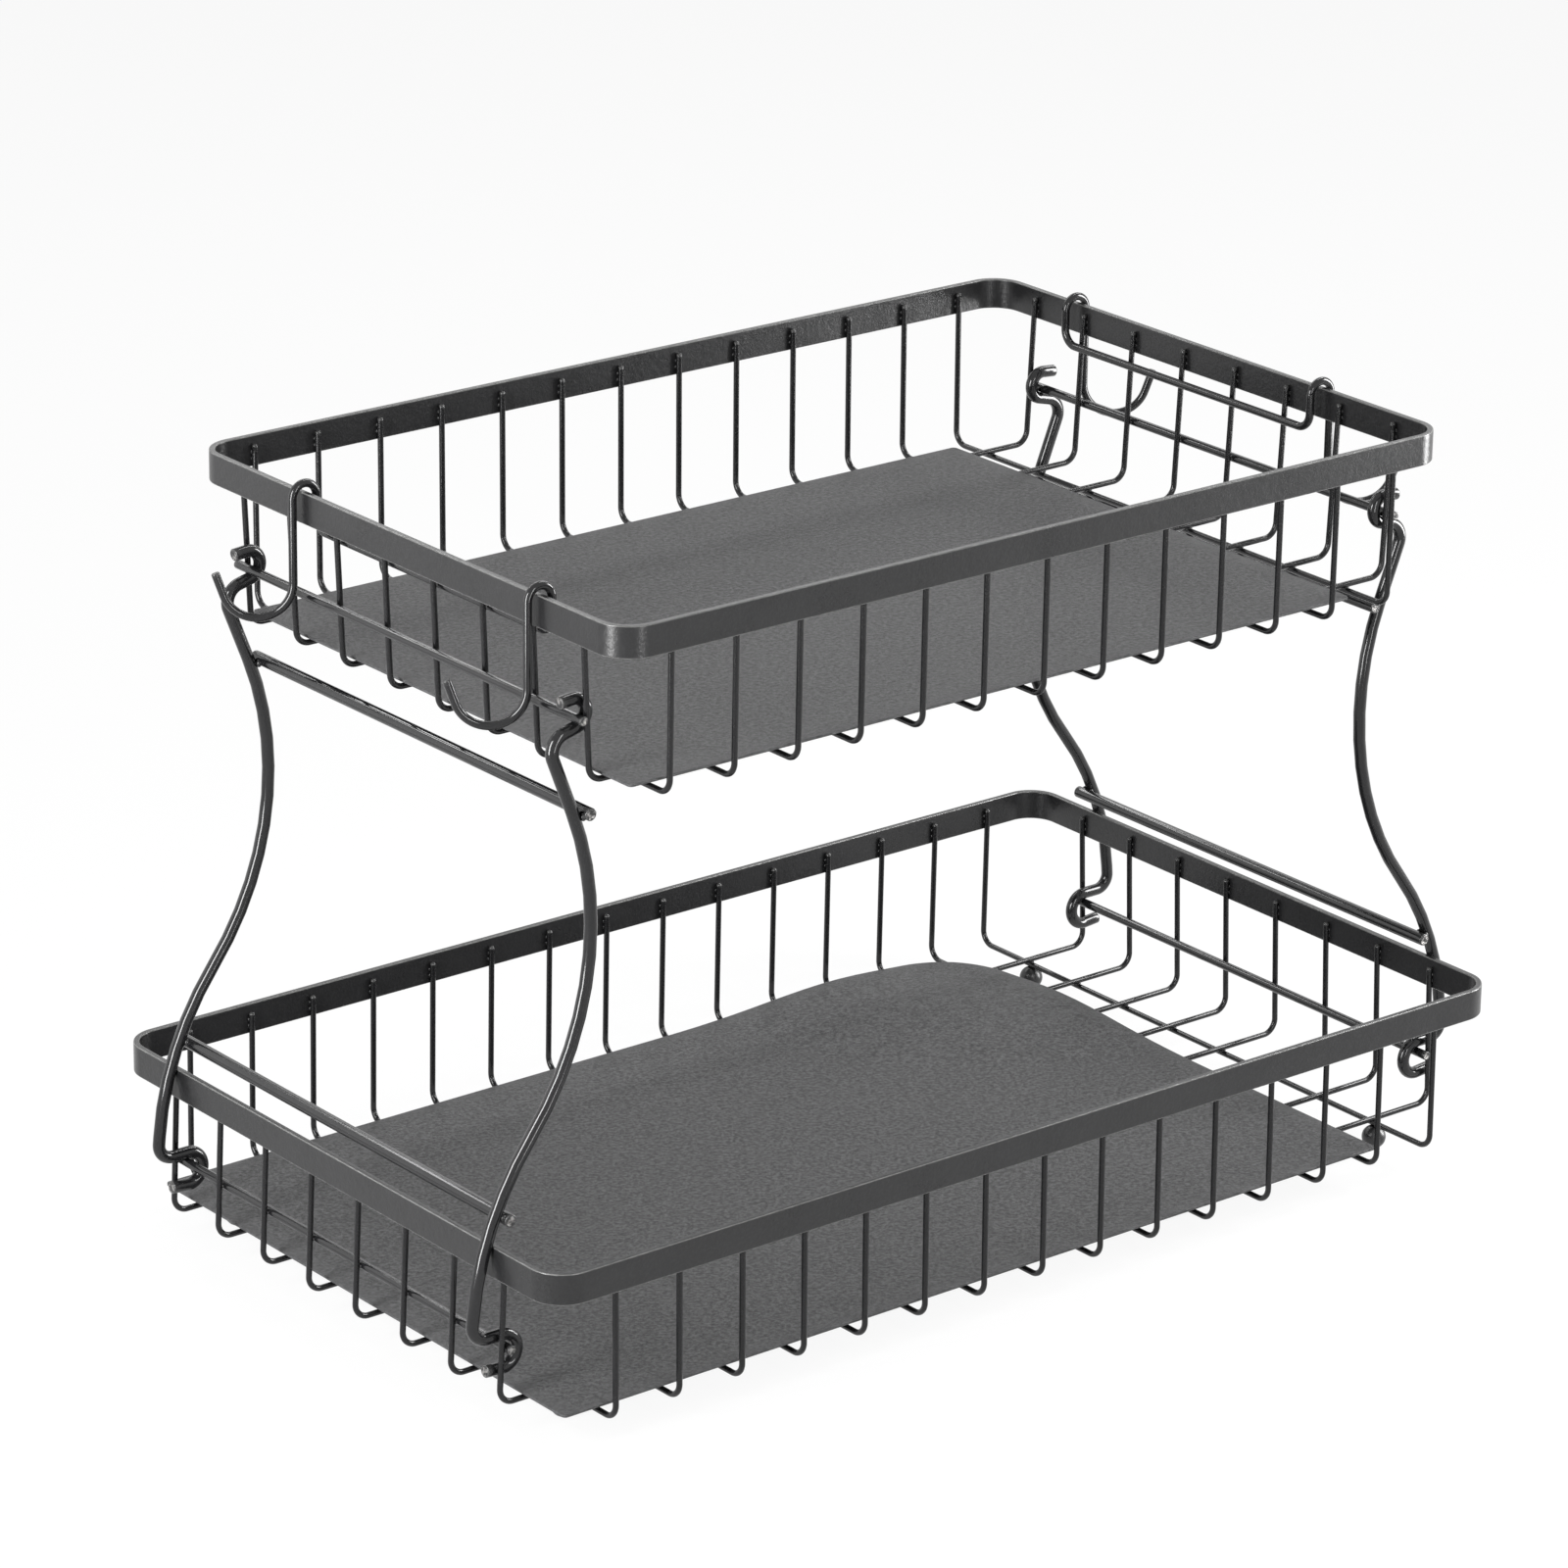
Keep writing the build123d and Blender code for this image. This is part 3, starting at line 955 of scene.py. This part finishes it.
def rack_route():
    """The left rack's route: rear hook, over the rim, inner bar, over the rim, front hook."""
    sizes = bpy.context.scene.basket_sizes
    rack = bpy.context.scene.rack_sizes
    length, _, _, top = rim_box("upper")
    outer_x = -(length / 2 + rack.stand_off + sizes.rack_diameter / 2)
    middle_x = outer_x + rack.loop_radius
    inner_x = middle_x + rack.loop_radius
    bore = rack.loop_radius - sizes.rack_diameter / 2
    loop_z = top + sizes.loose_gap - sqrt(bore**2 - (bore - rack.stand_off) ** 2)
    hook_z = top - rack.hook_drop + rack.hook_radius
    bar_z = top - rack.bar_drop
    outward = Vector((-sin(rack.hook_turn), cos(rack.hook_turn), 0))
    up = Vector((0, 0, 1))
    halves = []
    for side in (1, -1):
        y = side * rack.leg_spacing / 2 - rack.shift
        foot = Vector((outer_x, y, hook_z))
        centre = foot + outward * rack.hook_radius
        arm = outward * cos(rack.hook_flare) - up * sin(rack.hook_flare)
        along = outward * sin(rack.hook_flare) + up * cos(rack.hook_flare)
        points = [centre + arm * rack.hook_radius + along * rack.hook_tip]
        points += arc(
            centre, arm * rack.hook_radius, -along * rack.hook_radius, pi - rack.hook_flare
        )
        points += arc(
            Vector((middle_x, y, loop_z)),
            Vector((-rack.loop_radius, 0, 0)),
            up * rack.loop_radius,
            pi,
        )
        points += arc(
            Vector((inner_x, y - side * rack.bar_corner, bar_z + rack.bar_corner)),
            Vector((0, side * rack.bar_corner, 0)),
            -up * rack.bar_corner,
            pi / 2,
        )
        halves.append(points)
    return [*halves[0], *reversed(halves[1])]


class BASKET_OT_racks(Operator):
    """Bends the two hook racks that hang over the upper rim"""

    bl_idname = "basket.racks"
    bl_label = "Hook racks"

    def execute(self, context):
        sizes = context.scene.basket_sizes
        route = rack_route()
        for side, sign in (("left", 1), ("right", -1)):
            mesh = bmesh.new()
            points = [Vector((sign * p.x, sign * p.y, p.z)) for p in route]
            bar_mesh(mesh, points, sizes.rack_diameter, sizes.bar_sides, RACK_END_ROUND)
            node = f"{side}_hook_rack"
            piece(f"{node}_bar", mesh, node, "hook_coat", [node])
        return {"FINISHED"}


# Feet and liners

BALL_SQUASH = 1.06  # A foot's radius over half its height
BALL_SEGMENTS, BALL_RINGS = 32, 20


class BASKET_OT_feet(Operator):
    """Rounds the ball feet under the lower basket"""

    bl_idname = "basket.feet"
    bl_label = "Ball feet"

    def execute(self, context):
        low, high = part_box("ball_feet")
        height = high.z - low.z
        radius = height / 2 * BALL_SQUASH
        mesh = bmesh.new()
        wear = wear_layer(mesh)
        for sx, sy, _ in CORNERS:
            centre = Vector((sx * (high.x - radius), sy * (high.y - radius), height / 2))
            made = bmesh.ops.create_uvsphere(
                mesh,
                u_segments=BALL_SEGMENTS,
                v_segments=BALL_RINGS,
                radius=radius,
                matrix=Matrix.Translation(centre),
            )
            for vert in made["verts"]:
                vert.co.z = min(max(vert.co.z, 0.0), height)
                vert[wear] = 0.0
                for face in vert.link_faces:
                    face.smooth = True
        piece("ball_feet_balls", mesh, FRAME_BODY, "foot", ["ball_feet"], ["foot"])
        return {"FINISHED"}


LINER_CORNER_STEPS = 14
SMALL_CORNER_STEPS = 4


class BASKET_OT_liners(Operator):
    """Lays a grained sheet on each floor"""

    bl_idname = "basket.liners"
    bl_label = "Liners"

    def execute(self, context):
        sizes = context.scene.basket_sizes
        for tier in TIERS:
            node = f"{tier}_liner"
            low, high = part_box(node)
            outline = []
            for sx, sy, start in CORNERS:
                wide = tier == "lower" and sx == sy == 1
                radius = sizes.liner_corner if wide else sizes.liner_small_corner
                steps = LINER_CORNER_STEPS if wide else SMALL_CORNER_STEPS
                x = (high.x if sx > 0 else low.x) - sx * radius
                y = (high.y if sy > 0 else low.y) - sy * radius
                for angle in arc_angles(start, steps):
                    out = Vector((cos(angle), sin(angle), 0))
                    outline.append(Vector((x, y, low.z)) + out * radius)
            mesh = sheet_mesh(outline, low, high)
            if tier == "lower":
                curl(mesh, high, sizes.corner_lift)
            piece(f"{node}_sheet", mesh, node, "liner", [node], ["liner"])
        return {"FINISHED"}


SHEET_STEP = 8 * MM
SHEET_EDGE = 0.25 * MM


def sheet_mesh(outline, low, high):
    """A flat sheet with this outline, cut finely enough to curl, with small rounded edges."""
    mesh = bmesh.new()
    wear = wear_layer(mesh)
    mesh.faces.new([mesh.verts.new(p) for p in outline])
    for axis, start, stop in ((0, low.x, high.x), (1, low.y, high.y)):
        cuts = int((stop - start) / SHEET_STEP)
        for i in range(1, cuts):
            place = Vector((0, 0, low.z))
            place[axis] = start + (stop - start) * i / cuts
            normal = Vector((0, 0, 0))
            normal[axis] = 1
            bmesh.ops.bisect_plane(
                mesh,
                geom=[*mesh.verts, *mesh.edges, *mesh.faces],
                dist=1e-7,
                plane_co=place,
                plane_no=normal,
            )
    bottom = list(mesh.faces)
    made = bmesh.ops.extrude_face_region(mesh, geom=bottom)
    top = [v for v in made["geom"] if isinstance(v, bmesh.types.BMVert)]
    bmesh.ops.translate(mesh, verts=top, vec=(0, 0, high.z - low.z))
    for vert in mesh.verts:
        vert[wear] = 0.0
    bmesh.ops.recalc_face_normals(mesh, faces=mesh.faces)
    edges = [
        e
        for e in mesh.edges
        if abs(e.verts[0].co.z - e.verts[1].co.z) < CLOSE
        and any(abs(f.normal.z) < 0.5 for f in e.link_faces)
    ]
    bevelled = bmesh.ops.bevel(
        mesh, geom=edges, offset=SHEET_EDGE, segments=2, profile=0.6, affect="EDGES"
    )
    for f in bevelled["faces"]:
        for vert in f.verts:
            vert[wear] = 1.0
    for f in mesh.faces:
        f.smooth = True
    return mesh


CURL_REACH = 130 * MM
CURL_INSET = 11 * MM  # From the corner of the sheet's box to where the curl ends
CURL_SKEW = 1.4


def curl(mesh, corner, lift):
    """Lets the sheet rise and roll down again towards its back right corner."""
    for vert in mesh.verts:
        away = hypot(corner.x - vert.co.x, corner.y - vert.co.y) - CURL_INSET
        near = max(0.0, min(1.0, 1 - away / CURL_REACH))
        vert.co.z += lift * sin(pi * near**CURL_SKEW) ** 2


# Stage

# Name, azimuth in degrees, distance and height in metres, the panel's sides, and its watts
LAMPS = (
    ("Left softbox", 187.0, 0.80, 0.34, (0.20, 0.64), 10.5),
    ("Right softbox", 334.0, 0.80, 0.34, (0.20, 0.64), 11.0),
    ("Front softbox", 260.0, 0.80, 0.34, (0.08, 0.64), 3.0),
    ("Back left panel", 132.0, 0.90, 0.34, (0.60, 0.64), 1.0),
    ("Overhead strip", 20.0, 0.90, 1.30, (0.07, 1.20), 7.0),
    ("Back strip", 90.0, 1.10, 1.10, (1.20, 0.07), 3.5),
    ("Far back panel", 51.0, 1.35, 0.90, (1.20, 0.18), 1.8),
)
AIM = Vector((0, 0, 0.15))


class BASKET_OT_stage(Operator):
    """Sets the pale floor, the soft lights and the camera"""

    bl_idname = "basket.stage"
    bl_label = "Stage"

    def execute(self, context):
        scene = context.scene
        scene.view_settings.view_transform = "Standard"
        world_light(scene)
        paper_floor(scene)
        for name, azimuth, away, height, size, power in LAMPS:
            softbox(scene, name, radians(azimuth), away, height, size, power)
        camera(scene)
        return {"FINISHED"}


def softbox(scene, name, azimuth, away, height, size, power):
    """A soft light at an azimuth round the object, facing it."""
    data = bpy.data.lights.new(name, "AREA")
    data.shape = "RECTANGLE"
    data.size, data.size_y = size
    data.energy = power
    lamp = bpy.data.objects.new(name, data)
    lamp.location = (away * cos(azimuth), away * sin(azimuth), height)
    lamp.rotation_euler = (AIM - lamp.location).to_track_quat("-Z", "Y").to_euler()
    lamp.visible_camera = False
    scene.collection.objects.link(lamp)


SOFT_LIGHT = 0.1  # The world's strength as light
PLAIN_WHITE = 1.0  # Its strength, and the floor's, as they are seen
PAPER_TONES = ((0.86, 0.86, 0.86), (0.88, 0.88, 0.88))
PAPER_SEEN = 0.92  # How much of the floor is plain white, the rest taking the shadow


def world_light(scene):
    """A white backdrop that lights the object softly."""
    world = bpy.data.worlds.new("Pale studio")
    world.use_nodes = True
    sky = Network(world.node_tree)
    soft, plain = (
        sky.node("ShaderNodeBackground", {}, {"Color": (1, 1, 1, 1), "Strength": strength})
        for strength in (SOFT_LIGHT, PLAIN_WHITE)
    )
    seen = sky.seen_plainly()
    mixed = sky.node("ShaderNodeMixShader", {}, {0: seen, 1: soft, 2: plain})
    sky.end("ShaderNodeOutputWorld", mixed)
    scene.world = world


def paper_floor(scene):
    """A pale floor under the object that keeps a faint shadow."""
    paper = Finish("Pale floor")
    tone = paper.mix(paper.noise(0.4), *PAPER_TONES)
    matte = paper.node("ShaderNodeBsdfDiffuse", {}, {"Color": tone})
    glow = paper.node("ShaderNodeEmission", {}, {"Color": (1, 1, 1, 1), "Strength": PLAIN_WHITE})
    share = paper.seen_plainly() * PAPER_SEEN
    mixed = paper.node("ShaderNodeMixShader", {}, {0: share, 1: matte, 2: glow})
    paper.end("ShaderNodeOutputMaterial", mixed)
    mesh = bmesh.new()
    bmesh.ops.create_grid(mesh, x_segments=8, y_segments=8, size=6.0)
    data = bpy.data.meshes.new("studio_floor")
    mesh.to_mesh(data)
    mesh.free()
    data.materials.append(paper.material)
    made = bpy.data.objects.new("studio_floor", data)
    scene.collection.objects.link(made)


# The camera, solved from the photograph: millimetres, shares of the picture and metres
LENS = 150.73
SHIFT = (-0.02525, -0.08988)
EYE = (-1.29677, -1.59014, 0.91099)
RIGHTWARDS = (0.77823, -0.62780, 0.01522)
AHEAD = (0.59675, 0.73176, -0.32926)


def camera(scene):
    """The camera, where the photograph was taken from."""
    data = bpy.data.cameras.new("Photograph view")
    data.sensor_width = 36.0
    data.lens = LENS
    data.shift_x, data.shift_y = SHIFT
    data.clip_start, data.clip_end = 0.05, 20.0
    view = bpy.data.objects.new("Photograph view", data)
    right = Vector(RIGHTWARDS).normalized()
    ahead = Vector(AHEAD).normalized()
    up = right.cross(ahead).normalized()
    turn = Matrix((right, up, -ahead)).transposed().to_4x4()
    view.matrix_world = Matrix.Translation(EYE) @ turn
    scene.collection.objects.link(view)
    scene.camera = view


# Add-on


class BASKET_PT_panel(Panel):
    """Lists the basket's pieces and their settings"""

    bl_label = "Tiered wire basket"
    bl_idname = "BASKET_PT_panel"
    bl_space_type = "VIEW_3D"
    bl_region_type = "UI"
    bl_category = "Basket"

    def draw(self, context):
        layout = self.layout
        for operator in OPERATORS:
            layout.operator(operator.bl_idname)
        for group in ("basket_sizes", "leg_sizes", "rack_sizes", "finish_looks"):
            settings = getattr(context.scene, group)
            box = layout.box()
            for name in settings.__annotations__:
                box.prop(settings, name)


OPERATORS = (
    BASKET_OT_rims,
    BASKET_OT_wires,
    BASKET_OT_welds,
    BASKET_OT_legs,
    BASKET_OT_rods,
    BASKET_OT_racks,
    BASKET_OT_feet,
    BASKET_OT_liners,
    BASKET_OT_stage,
)
GROUPS = (
    ("basket_sizes", BasketSizes),
    ("leg_sizes", LegSizes),
    ("rack_sizes", RackSizes),
    ("finish_looks", FinishLooks),
)


def register():
    """Registers the settings, the operators and the panel."""
    for name, group in GROUPS:
        bpy.utils.register_class(group)
        setattr(bpy.types.Scene, name, PointerProperty(type=group))
    for operator in OPERATORS:
        bpy.utils.register_class(operator)
    bpy.utils.register_class(BASKET_PT_panel)


def unregister():
    """Takes back what register() did."""
    bpy.utils.unregister_class(BASKET_PT_panel)
    for operator in reversed(OPERATORS):
        bpy.utils.unregister_class(operator)
    for name, group in reversed(GROUPS):
        delattr(bpy.types.Scene, name)
        bpy.utils.unregister_class(group)


def main():
    """Makes every piece and the stage."""
    register()
    bpy.ops.basket.rims()
    bpy.ops.basket.wires()
    bpy.ops.basket.welds()
    bpy.ops.basket.legs()
    bpy.ops.basket.rods()
    bpy.ops.basket.racks()
    bpy.ops.basket.feet()
    bpy.ops.basket.liners()
    bpy.ops.basket.stage()


if __name__ == "__main__":
    main()
